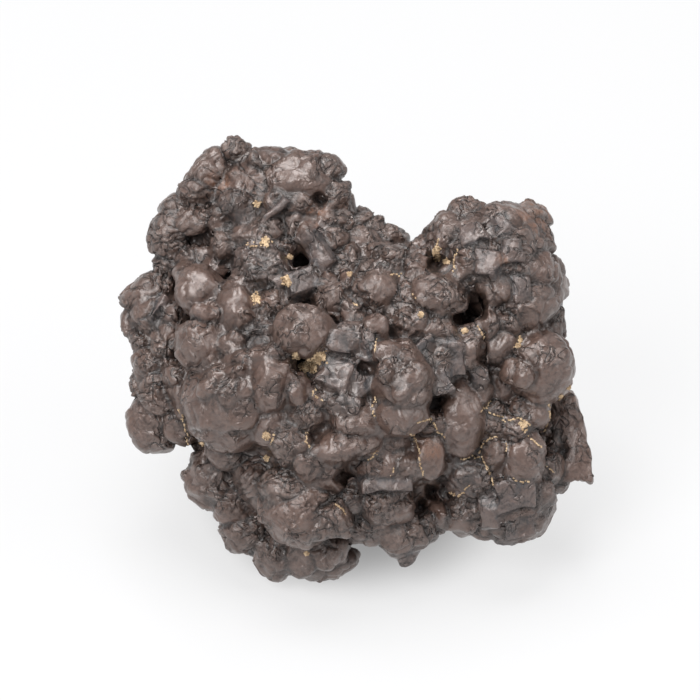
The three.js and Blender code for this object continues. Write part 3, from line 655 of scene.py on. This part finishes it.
for _ in range(DRAW["steps"]):
    points = points_of(stone.data)
    points = points - DRAW["back"] / DRAW["steps"] * points_of(stone.data, "normal")
    stone.data.vertices.foreach_set("co", points.ravel())
    stone.data.update()
    smoothed(stone, RELAXING)
points = points_of(stone.data)
normals = points_of(stone.data, "normal")
owner, gap = owners(points)
moves = np.zeros((len(points), 3), np.float32)
raise_by = np.zeros(len(points), np.float32)
deep = np.zeros(len(points), np.float32)
crumpled = np.zeros(len(points), np.float32)
shifts = [Vector((1.7, 2.9, 4.3)) * (i % 37) for i in range(len(forms))]
turns = [form[1].to_3x3().transposed() for form in forms]
middles = [form[1].translation for form in forms]
noise.seed_set(WARP_SEED)  # without a seed, vector noise starts from the clock
for i, (x, y, z) in enumerate(points.tolist()):
    mine = owner[i]
    q = Vector((x, y, z))
    from_middle = q - middles[mine]
    facing = from_middle.normalized().dot(UPPER_SIDE)
    local = turns[mine] @ from_middle
    crumpled[i] = crumpling(q, shifts[mine], facing)
    raise_by[i] = relief(forms[mine][0], q, local, shifts[mine], crumpled[i])
    moves[i] = sum((noise.noise_vector(q * wave) * by for wave, by in WARP), Vector())
    deep[i] = noise.noise(q * SEAM_WAVE)
# The relief fades towards a seam, and the seam itself is a groove, here deep and there shallow.
raise_by *= 0.4 + 0.6 * smoothstep(gap, 0, SEAM["calm"])
groove = SEAM["depth"] * np.clip(0.6 + 1.6 * deep, 0, 1.6)
raise_by -= groove * np.exp(-((gap / SEAM["width"]) ** 2))
for across, up, width, height, depth in PITS:
    far = ((points[:, 0] - across) / width) ** 2 + ((points[:, 1] - up) / height) ** 2
    seen = (far < 1) & (normals[:, 2] > 0)
    seen &= points[:, 2] > points[seen, 2].max() - depth
    points[seen, 2] -= depth * smoothstep(1 - far[seen], 0, 0.8)
moved = points + normals * raise_by[:, None] + moves
stone.data.vertices.foreach_set("co", moved.ravel())
stone.data.update()

where_from = KDTree(len(moved))
for i, point in enumerate(moved.tolist()):
    where_from.insert(point, i)
where_from.balance()
# The seen side keeps more of its faces than the back when the mesh is thinned.
detail = stone.vertex_groups.new(name="detail")
seen_side = normals[:, 2] > THINNED["seen_from"]
detail.add(np.flatnonzero(seen_side).tolist(), THINNED["seen"], "REPLACE")
detail.add(np.flatnonzero(~seen_side).tolist(), THINNED["unseen"], "REPLACE")
thin = stone.modifiers.new("thin", "DECIMATE")
thin.ratio = THINNED["faces"] / (2 * len(stone.data.polygons))
thin.vertex_group = "detail"
thin.vertex_group_factor = THINNED["factor"]
applied(stone)

body = bmesh.new()
body.from_mesh(stone.data)
bmesh.ops.transform(body, matrix=TO_STAND, verts=body.verts)
everything = body.verts[:] + body.edges[:] + body.faces[:]
cut = bmesh.ops.bisect_plane(
    body, geom=everything, dist=1e-7, plane_co=(0, 0, 0), plane_no=(0, 0, 1), clear_inner=True
)["geom_cut"]
rims = [part for part in cut if isinstance(part, bmesh.types.BMEdge)]
bmesh.ops.holes_fill(body, edges=rims, sides=0)
bmesh.ops.triangulate(body, faces=[face for face in body.faces if len(face.verts) > 3])
pockets = sorted(skins_of(body), key=len)[:-1]  # all but the outer skin
bmesh.ops.delete(body, geom=[face for skin in pockets for face in skin], context="FACES")
body.to_mesh(stone.data)
body.free()
stone.data.shade_smooth()

# The stone's skin: brown iron oxide with the waxy gloss of desert varnish, which is polished on the
# smooth lumps, steel grey on the old crystals and rusty in a few spots. Shade is painted into its
# seams, hollows and creases as a darker colour, and its polished patches are painted paler, partly
# as painted sheen.
# The finish reads attributes of each point: its lump's tone and kind, and how near a seam it is.
HOLLOW_ROUNDS = 8
# How far the painted shade of a seam reaches, in millimetres.
SEAM_REACH = 0.7
# Rusty spots on the face: across, up and reach.
RUSTY = [
    (37.8, 31.5, 4.5),
    (30.5, 21.6, 2),
    (-20.4, 13.7, 2),
    (15.3, -17.4, 3.5),
    (46, -6, 4),
    (-8, 31, 3),
    (-29, 38, 3),
]
GLOSS = {
    "smooth": 1.0,
    "wrinkled": 0.4,
    "ribbed": 0.5,
    "cubic": 0.5,
    "crystal": 0.55,
    "striped": 0.3,
}
GREY = {"cubic": 0.5, "crystal": 1.0}

to_face = TO_STAND.inverted()
on_face = [to_face @ vert.co for vert in stone.data.vertices]
source = [where_from.find(point)[1] for point in on_face]
owner, gap = owner[source], gap[source]

# How far each point lies below its smoothed neighbours, in millimetres. The colour is painted
# darker by it in hollows, which is painted shade, and paler on bumps.
ends = np.empty(len(stone.data.edges) * 2, np.int32)
stone.data.edges.foreach_get("vertices", ends)
ends = ends.reshape(-1, 2)
at_rest = points_of(stone.data)
around = np.bincount(ends.ravel(), minlength=len(at_rest))[:, None]
soft = at_rest.copy()
for _ in range(HOLLOW_ROUNDS):
    total = np.zeros_like(soft)
    np.add.at(total, ends[:, 0], soft[ends[:, 1]])
    np.add.at(total, ends[:, 1], soft[ends[:, 0]])
    soft = total / around
hollow = ((soft - at_rest) * points_of(stone.data, "normal")).sum(1) * 1000

face_points = np.array([point[:] for point in on_face], np.float32)
rust = np.zeros(len(face_points), np.float32)
for across, up, reach in RUSTY:
    off = np.hypot(face_points[:, 0] - across, face_points[:, 1] - up)
    rust = np.maximum(rust, 1 - smoothstep(off, reach * 0.3, reach * 1.3))

kinds = [form[0] for form in forms]
lump_tone = np.array([noise.cell(Vector((i * 7.7, 3.1, 0.5))) for i in range(len(forms))])
lump_gloss = np.array([GLOSS[kind] for kind in kinds])
lump_grey = np.array([GREY.get(kind, 0) for kind in kinds])
for name, values in {
    "tone": lump_tone[owner],
    "gloss": lump_gloss[owner],
    "grey": lump_grey[owner],
    "seam": np.exp(-((gap / SEAM_REACH) ** 2)),
    "hollow": hollow,
    "crumpled": crumpled[source],
    "rust": rust,
}.items():
    layer = stone.data.attributes.new(name, "FLOAT", "POINT")
    layer.data.foreach_set("value", values.astype(np.float32))

# Colours of the skin, from the darkest, which is painted shade in seams, hollows and creases and
# also the colour of dark specks, to the rusty spots.
PAINTED_SHADE_AND_SPECKS = (0.012, 0.0085, 0.0075, 1)
DARK = (0.035, 0.019, 0.0138, 1)
BROWN = (0.070, 0.039, 0.0285, 1)
PALE = (0.138, 0.090, 0.073, 1)
WARM = (0.058, 0.027, 0.018, 1)
STEEL = (0.040, 0.043, 0.049, 1)
RUST = (0.104, 0.048, 0.030, 1)
ORANGE = (0.22, 0.088, 0.038, 1)
# Patterns of the skin: waves a metre, detail and roughness, and for creases their distortion.
CLOUDS = (90.0, 3.0, 0.6)
ZONES = (170.0, 2.0, 0.5)
WORN_SPOTS = (240.0, 2.0, 0.55)
BENDS = (260.0, 1.0, 0.5)
PATCHES = (320.0, 4.0, 0.65)
CREASES = (340.0, 1.0, 0.5, 0.3)
SPECKS = (1500.0, 3.0, 0.7)
PORES = (1900.0, 3.0, 0.6)
PLATES_A_METRE = 310.0
BENT_BY = 0.0025
DULL, POLISHED = 0.52, 0.32
CREASE_HEIGHT = 0.00055
PORE_HEIGHT = 0.00027
VARNISH = {
    "Specular IOR Level": 0.8,
    "Specular Tint": (1, 0.93, 0.9, 1),
    "Coat Weight": 0.5,
    "Coat Roughness": 0.31,
}


def empty_material(name):
    """A new material with no nodes yet, and its node tree."""
    made = bpy.data.materials.new(name)
    made.use_nodes = True
    made.node_tree.nodes.clear()
    return made, made.node_tree


def node(tree, kind, values=None, **links):
    """A node with its settings and inputs; a socket given as an input is linked."""
    made = tree.nodes.new(kind)
    for key, value in (values or {}).items():
        setattr(made, key, value)
    for key, value in links.items():
        socket = made.inputs[int(key[1:]) if key[1:].isdigit() else key.replace("_", " ")]
        if isinstance(value, bpy.types.NodeSocket):
            tree.links.new(value, socket)
        else:
            socket.default_value = value
    return made


def attribute(tree, name):
    return node(tree, "ShaderNodeAttribute", {"attribute_name": name}).outputs["Fac"]


def mixed(tree, factor, low, high):
    """A colour between two others."""
    made = node(tree, "ShaderNodeMix", {"data_type": "RGBA"}, i0=factor, i6=low, i7=high)
    return made.outputs[2]


def ramp(tree, value, low, high, to_low=0.0, to_high=1.0):
    """A value brought from one range to another, with a soft start and end."""
    soft_ends = {"interpolation_type": "SMOOTHSTEP"}
    made = node(
        tree, "ShaderNodeMapRange", soft_ends, i0=value, i1=low, i2=high, i3=to_low, i4=to_high
    )
    return made.outputs[0]


def maths(tree, operation, *inputs):
    links = {f"i{i}": value for i, value in enumerate(inputs)}
    return node(tree, "ShaderNodeMath", {"operation": operation}, **links).outputs[0]


def vector_maths(tree, operation, *inputs, result="Vector"):
    links = {f"i{i}": value for i, value in enumerate(inputs)}
    made = node(tree, "ShaderNodeVectorMath", {"operation": operation}, **links)
    return made.outputs[result]


def pattern(tree, at, scale, detail, roughness=0.5, distortion=0.0, output="Fac"):
    """Cloudy noise of one size, as a value or as a colour."""
    made = node(tree, "ShaderNodeTexNoise", Vector=at, Scale=scale, Detail=detail)
    made.inputs["Roughness"].default_value = roughness
    made.inputs["Distortion"].default_value = distortion
    return made.outputs[output]


def bump(tree, height, strength, distance, under=None):
    """A bump of a height, laid over the one under it."""
    made = node(tree, "ShaderNodeBump", Height=height, Strength=strength, Distance=distance)
    if under:
        tree.links.new(under, made.inputs["Normal"])
    return made.outputs[0]


skin, tree = empty_material("desert_varnish")
where = node(tree, "ShaderNodeTexCoord").outputs["Object"]
tone, gloss, grey, seam = (attribute(tree, name) for name in ("tone", "gloss", "grey", "seam"))
hollow, crumpled_here, rusty = (attribute(tree, name) for name in ("hollow", "crumpled", "rust"))
patches = pattern(tree, where, *PATCHES)
specks = pattern(tree, where, *SPECKS)

# Where blown sand has polished the skin: most on the glossy lumps. It makes the skin less rough,
# and it paints the colour paler, partly as painted sheen.
polish_and_sheen = maths(tree, "MULTIPLY_ADD", gloss, 0.14, pattern(tree, where, *WORN_SPOTS))
polish_and_sheen = ramp(tree, polish_and_sheen, 0.53, 0.63)

# The colour in coats: what each coat follows, from where to where, how much of it, and its colour.
blotchy = maths(tree, "MULTIPLY", rusty, ramp(tree, patches, 0.35, 0.6))
colour = mixed(tree, ramp(tree, pattern(tree, where, *CLOUDS), 0.35, 0.65), DARK, BROWN)
for follows, low, high, most, coat in [
    (patches, 0.45, 0.75, 0.7, PALE),
    (tone, 0.7, 1.0, 0.45, RUST),
    (gloss, 0.4, 1.0, 0.45, WARM),
    (grey, 0.0, 1.0, 0.8, STEEL),
    (blotchy, 0.0, 1.0, 0.75, ORANGE),
    # Paler on bumps, and darker in hollows, which is painted shade.
    (hollow, 0.0, -0.25, 0.4, PALE),
    (hollow, 0.04, 0.4, 0.6, PAINTED_SHADE_AND_SPECKS),
    # Darker near the seams between lumps: painted shade.
    (seam, 0.3, 1.0, 0.62, PAINTED_SHADE_AND_SPECKS),
    (specks, 0.5, 0.68, 0.5, PALE),
    (specks, 0.5, 0.32, 0.6, PAINTED_SHADE_AND_SPECKS),
    # Paler where polished: partly the polished stone, partly painted sheen.
    (polish_and_sheen, 0.0, 1.0, 0.3, PALE),
]:
    colour = mixed(tree, ramp(tree, follows, low, high, 0.0, most), colour, coat)

# Creases in the zones where a lump is crumpled: a bump along their lines, and painted shade that
# darkens the colour there.
skewed = pattern(tree, where, *BENDS, output="Color")
bent = node(tree, "ShaderNodeMix", {"data_type": "VECTOR"}, i0=BENT_BY, i4=where, i5=skewed)
bent = bent.outputs[1]
valley = maths(tree, "SUBTRACT", pattern(tree, bent, *CREASES), 0.5)
valley = maths(tree, "ABSOLUTE", valley)
zones = maths(tree, "MULTIPLY_ADD", crumpled_here, 0.3, pattern(tree, where, *ZONES))
zones = maths(tree, "MULTIPLY_ADD", gloss, -0.18, zones)
crumple = ramp(tree, zones, 0.42, 0.64, 0.04, 1.0)
creases = maths(tree, "MULTIPLY", ramp(tree, valley, 0.0, 0.06), crumple)
# Painted shade along the crease lines.
painted_crease_shade = maths(tree, "MULTIPLY", ramp(tree, valley, 0.0, 0.04, 0.6, 0.0), crumple)
colour = mixed(tree, painted_crease_shade, colour, PAINTED_SHADE_AND_SPECKS)

# Small flat plates, each tipped its own way.
plate = node(
    tree, "ShaderNodeTexVoronoi", Vector=bent, Scale=PLATES_A_METRE, Randomness=1.0
).outputs
from_seed = vector_maths(tree, "SUBTRACT", bent, plate["Position"])
leaning_by = vector_maths(tree, "SUBTRACT", plate["Color"], (0.5, 0.5, 0.5))
tipped = vector_maths(tree, "DOT_PRODUCT", from_seed, leaning_by, result="Value")
tipped = maths(tree, "MULTIPLY", tipped, ramp(tree, crumple, 0.0, 1.0, 0.32, 0.8))

# Pores, which the polish has half filled.
pores = pattern(tree, bent, *PORES)
pores = maths(tree, "MULTIPLY", pores, ramp(tree, polish_and_sheen, 0.0, 1.0, 1.0, 0.35))

relief_of_skin = bump(tree, tipped, 1.0, 1.0)
relief_of_skin = bump(tree, creases, 1.0, CREASE_HEIGHT, relief_of_skin)
relief_of_skin = bump(tree, pores, 0.9, PORE_HEIGHT, relief_of_skin)
shader = node(tree, "ShaderNodeBsdfPrincipled", Base_Color=colour, Normal=relief_of_skin)
tree.links.new(ramp(tree, polish_and_sheen, 0.0, 1.0, DULL, POLISHED), shader.inputs["Roughness"])
for socket, value in VARNISH.items():
    shader.inputs[socket].default_value = value
node(tree, "ShaderNodeOutputMaterial", Surface=shader.outputs[0])

stone.data.materials.clear()
stone.data.materials.append(skin)
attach(stone, "root")
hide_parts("stone")

# The sand: veins and crumbs of the beige sandstone that the stone grew in, still held in its seams.
# They are placed by two lengths on the face, and a vein's grains are drawn part of the way towards
# a seam close by.
VEINS = [
    [(17.4, 26.2), (17, 24.6), (16.6, 23.3), (17.2, 22.3)],
    [(21, 24.1), (20.6, 22.5), (20.4, 21), (20.8, 19.7)],
    [(25.4, 8.4), (25.8, 7.1), (26.5, 6.3), (26.5, 5)],
    [(28.1, -7.6), (27.1, -9), (26, -9.7)],
    [(27.1, -9), (29.4, -10.3), (31.5, -11.5), (33, -11.3), (34.6, -10.9), (35.5, -12.4),
     (35.3, -14.1)],
    [(36.3, -15.1), (37.8, -16.4), (38.9, -17.2)],
    [(40.3, -8.2), (40.5, -9.9), (40.7, -11.5), (40.1, -13), (39.3, -14.1)],
    [(29.6, -14.7), (28.1, -14.9), (27.1, -16.2), (26.2, -17.8), (25.8, -18.9), (24.1, -19.1),
     (22.1, -19.5)],
    [(26.2, -18.9), (27.3, -21), (28.3, -23.3), (29, -25.2)],
    [(11.3, -14.1), (12.4, -15.3), (13.2, -17.4), (13.7, -19.9), (14.1, -23.1)],
    [(12.8, -11.8), (14.1, -11.5), (15.8, -11.1), (17, -13.4), (18.9, -15.1)],
    [(19.7, -26.7), (21.4, -27.3), (22.7, -26.5), (23.7, -25)],
    [(31.5, -16.4), (31.3, -17.8)],
    [(40.5, -21.6), (41.6, -22.5)],
    [(32.8, -23.7), (34.6, -24.4), (36.3, -24.6)],
    [(-18.3, -14.5), (-16.8, -14.3)],
    [(-16.8, -14.3), (-17.6, -16.4)],
    [(-9.9, -14.1), (-10.1, -15.8), (-9.4, -17)],
    [(-4, -28.8), (-2.5, -30), (-1.9, -31.1)],
    [(4.4, -17.8), (2.7, -19.7)],
    [(7.8, -21.4), (7.3, -22.5)],
    [(4.6, 5.7), (4, 2.7)],
    [(-8.4, -4.8), (-8.2, -6.5), (-6.7, -7.1)],
    [(4.2, -6.5), (3.8, -9), (3.6, -10.5)],
    [(-0.4, 12.8), (0.6, 12.2)],
    [(7.3, 18.7), (9.4, 18.7)],
    [(12.2, 14.7), (12.6, 13.7)],
    [(-22.7, 25), (-19.5, 25)],
    [(-36.8, -9.2), (-34.9, -16.8)],
]
# Crumbs: across, up and size.
CRUMBS = [
    (19.1, 21.6, 0.32),
    (22.7, 7.1, 0.26),
    (33.6, 4, 0.26),
    (34.2, 5.2, 0.21),
    (13.7, 10.5, 0.26),
    (-12.2, 1.9, 0.32),
    (-18.5, -19.5, 0.26),
    (-1.1, 18.9, 0.21),
    (-20.4, 33.6, 0.32),
    (-18.7, 25.6, 0.42),
    (-14.3, 17.4, 0.42),
    (-13.7, 22.5, 0.21),
    (-10.1, -39.3, 0.21),
    (44.7, -4.8, 0.21),
    (43, -6.7, 0.21),
    (-31.9, -16.4, 0.21),
    (17, 24.1, 0.32),
    (17.2, 22.3, 0.37),
    (35.1, -12.4, 0.42),
    (-18.3, -14.5, 0.37),
    (-20.4, 13.7, 0.42),
    (-10.9, -0.2, 0.42),
    (-9.4, 0.4, 0.47),
    (-8, 1.3, 0.47),
    (-6.7, 1.7, 0.42),
    (-10.1, -0.8, 0.32),
    (-8.8, -0.6, 0.37),
    (16.6, 23.5, 0.32),
]
VEIN = {"step": 0.1, "spread": 0.07, "grain": 0.16, "reach": 1.2}
CRUMB = {"count": 160, "grain": 0.24}
IN_SEAM = 0.3
ABOVE_FACE = 60
SAND_COLOURS = (0.34, 0.23, 0.135, 1), (0.62, 0.46, 0.29, 1)
MOTTLE = (900.0, 3.0)
GRIT = (5000.0, 2.0)

face_skin = BVHTree.FromPolygons(on_face, [face.vertices for face in stone.data.polygons])
in_seam = np.flatnonzero(gap < IN_SEAM)
seam_points = KDTree(len(in_seam))
for i in in_seam:
    seam_points.insert(on_face[i], i)
seam_points.balance()
chance = random.Random(7)


def seen_spot(across, up):
    """The place on the stone that shows at two lengths on the face."""
    return face_skin.ray_cast(Vector((across, up, ABOVE_FACE)), Vector((0, 0, -1)))[0]


def add_grain(heap, across, up, size, to_seam):
    """One grain on the stone's seen skin, drawn towards a seam that is close by."""
    spot = seen_spot(across, up)
    if spot is None:
        return
    seam, _, far = seam_points.find(spot)
    if far < to_seam:
        near = spot.lerp(seam, 0.5)
        spot = seen_spot(near.x, near.y) or spot
    sides = [size * chance.uniform(0.7, 1.4) for _ in range(3)]
    turned = Euler([chance.uniform(0, 3) for _ in range(3)]).to_matrix().to_4x4()
    matrix = TO_STAND @ Matrix.Translation(spot) @ turned @ Matrix.Diagonal((*sides, 1))
    bmesh.ops.create_icosphere(heap, subdivisions=1, radius=1, matrix=matrix)


heaps = []
for vein in VEINS:
    heap = bmesh.new()
    for (x0, y0), (x1, y1) in zip(vein, vein[1:]):
        steps = max(1, round(math.hypot(x1 - x0, y1 - y0) / VEIN["step"]))
        for step in range(steps):
            share = step / steps
            across = x0 + (x1 - x0) * share + chance.gauss(0, VEIN["spread"])
            up = y0 + (y1 - y0) * share + chance.gauss(0, VEIN["spread"])
            add_grain(heap, across, up, VEIN["grain"] * chance.uniform(0.6, 1.4), VEIN["reach"])
    heaps.append(mesh_object("seam_sand", heap))
for across, up, size in CRUMBS:
    heap = bmesh.new()
    for _ in range(round(CRUMB["count"] * size)):
        x, y = across + chance.gauss(0, size), up + chance.gauss(0, size)
        add_grain(heap, x, y, CRUMB["grain"] * chance.uniform(0.6, 1.5), 0)
    heaps.append(mesh_object("seam_sand", heap))
with bpy.context.temp_override(active_object=heaps[0], selected_editable_objects=heaps):
    bpy.ops.object.join()
sand = heaps[0]
sandstone, tree = empty_material("beige_sand")
where = node(tree, "ShaderNodeTexCoord").outputs["Object"]
dust = mixed(tree, ramp(tree, pattern(tree, where, *MOTTLE), 0.35, 0.65), *SAND_COLOURS)
pitted = bump(tree, pattern(tree, where, *GRIT), 0.4, 0.0001)
grit = node(tree, "ShaderNodeBsdfPrincipled", Base_Color=dust, Roughness=0.85, Normal=pitted)
node(tree, "ShaderNodeOutputMaterial", Surface=grit.outputs[0])
sand.data.materials.append(sandstone)
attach(sand, "root")

# The pale floor of the studio: a sheet of grey paper, larger than any view, that the stone lies on.
# It glows, which is painted light that makes it white, and it glows less under the stone, so that
# the stone's soft shadow stays; the lower glow there is a painted shadow too.
FLOOR_SIZE = 3
PAPER_GREYS = (0.16, 0.16, 0.162, 1), (0.18, 0.18, 0.182, 1)
# The painted glow of the floor: from and to in metres from the stone's middle, and its strength
# under the stone and in the open.
SHADE = {"from": 0.016, "to": 0.036, "under": 0.3, "open": 0.68}

pane = bmesh.new()
bmesh.ops.create_grid(pane, x_segments=1, y_segments=1, size=FLOOR_SIZE)
floor = mesh_object("floor", pane)
paper, sheet = empty_material("glowing_paper")
spot = node(sheet, "ShaderNodeTexCoord").outputs["Object"]
paper_grey = mixed(sheet, pattern(sheet, spot, 2.0, 2.0), *PAPER_GREYS)
matte = node(sheet, "ShaderNodeBsdfPrincipled", Base_Color=paper_grey, Roughness=0.9)
matte.inputs["Emission Color"].default_value = (1, 1, 1, 1)
from_stone = vector_maths(sheet, "LENGTH", spot, result="Value")
glow = ramp(sheet, from_stone, SHADE["from"], SHADE["to"], SHADE["under"], SHADE["open"])
sheet.links.new(glow, matte.inputs["Emission Strength"])
node(sheet, "ShaderNodeOutputMaterial", Surface=matte.outputs[0])
floor.data.materials.append(paper)

# Soft studio light: a large panel overhead, smaller ones at the front left and on the right, and
# pale walls all round. Each panel faces the middle of the stone.
ROOM = {"colour": (0.95, 0.97, 1.0, 1), "strength": 0.4}
LIT = Vector((0, 0, 0.03))

world = bpy.data.worlds.new("studio")
world.use_nodes = True
walls = world.node_tree.nodes["Background"]
walls.inputs["Color"].default_value = ROOM["colour"]
walls.inputs["Strength"].default_value = ROOM["strength"]
bpy.context.scene.world = world
for name, place, size, power in [
    ("overhead", (-0.1, 0.2, 0.95), 0.6, 8.5),
    ("front left", (-0.4, -0.5, 0.75), 0.5, 6.5),
    ("right", (0.75, -0.2, 0.6), 0.5, 2.5),
]:
    panel = bpy.data.lights.new(name, "AREA")
    panel.size = size
    panel.energy = power
    lamp = bpy.data.objects.new(name, panel)
    lamp.location = place
    lamp.rotation_mode = "QUATERNION"
    lamp.rotation_quaternion = (Vector(place) - LIT).to_track_quat("Z", "Y")
    bpy.context.scene.collection.objects.link(lamp)

# The camera looks down on the knobbly face from the front, through a long lens that takes in the
# stone with a margin all round.
VIEW = {"middle": (-0.0015, -0.0004, 0.0409), "elevation": 40, "distance": 1.4, "width": 0.147}
SENSOR_WIDTH = 36

lens = bpy.data.cameras.new("camera")
lens.sensor_width = SENSOR_WIDTH
lens.lens = lens.sensor_width * VIEW["distance"] / VIEW["width"]
camera = bpy.data.objects.new("camera", lens)
rise = math.radians(VIEW["elevation"])
back = Vector((0, -math.cos(rise), math.sin(rise)))
camera.location = Vector(VIEW["middle"]) + back * VIEW["distance"]
camera.rotation_mode = "QUATERNION"
camera.rotation_quaternion = back.to_track_quat("Z", "Y")
bpy.context.scene.collection.objects.link(camera)
bpy.context.scene.camera = camera
bpy.context.scene.view_settings.view_transform = "Standard"
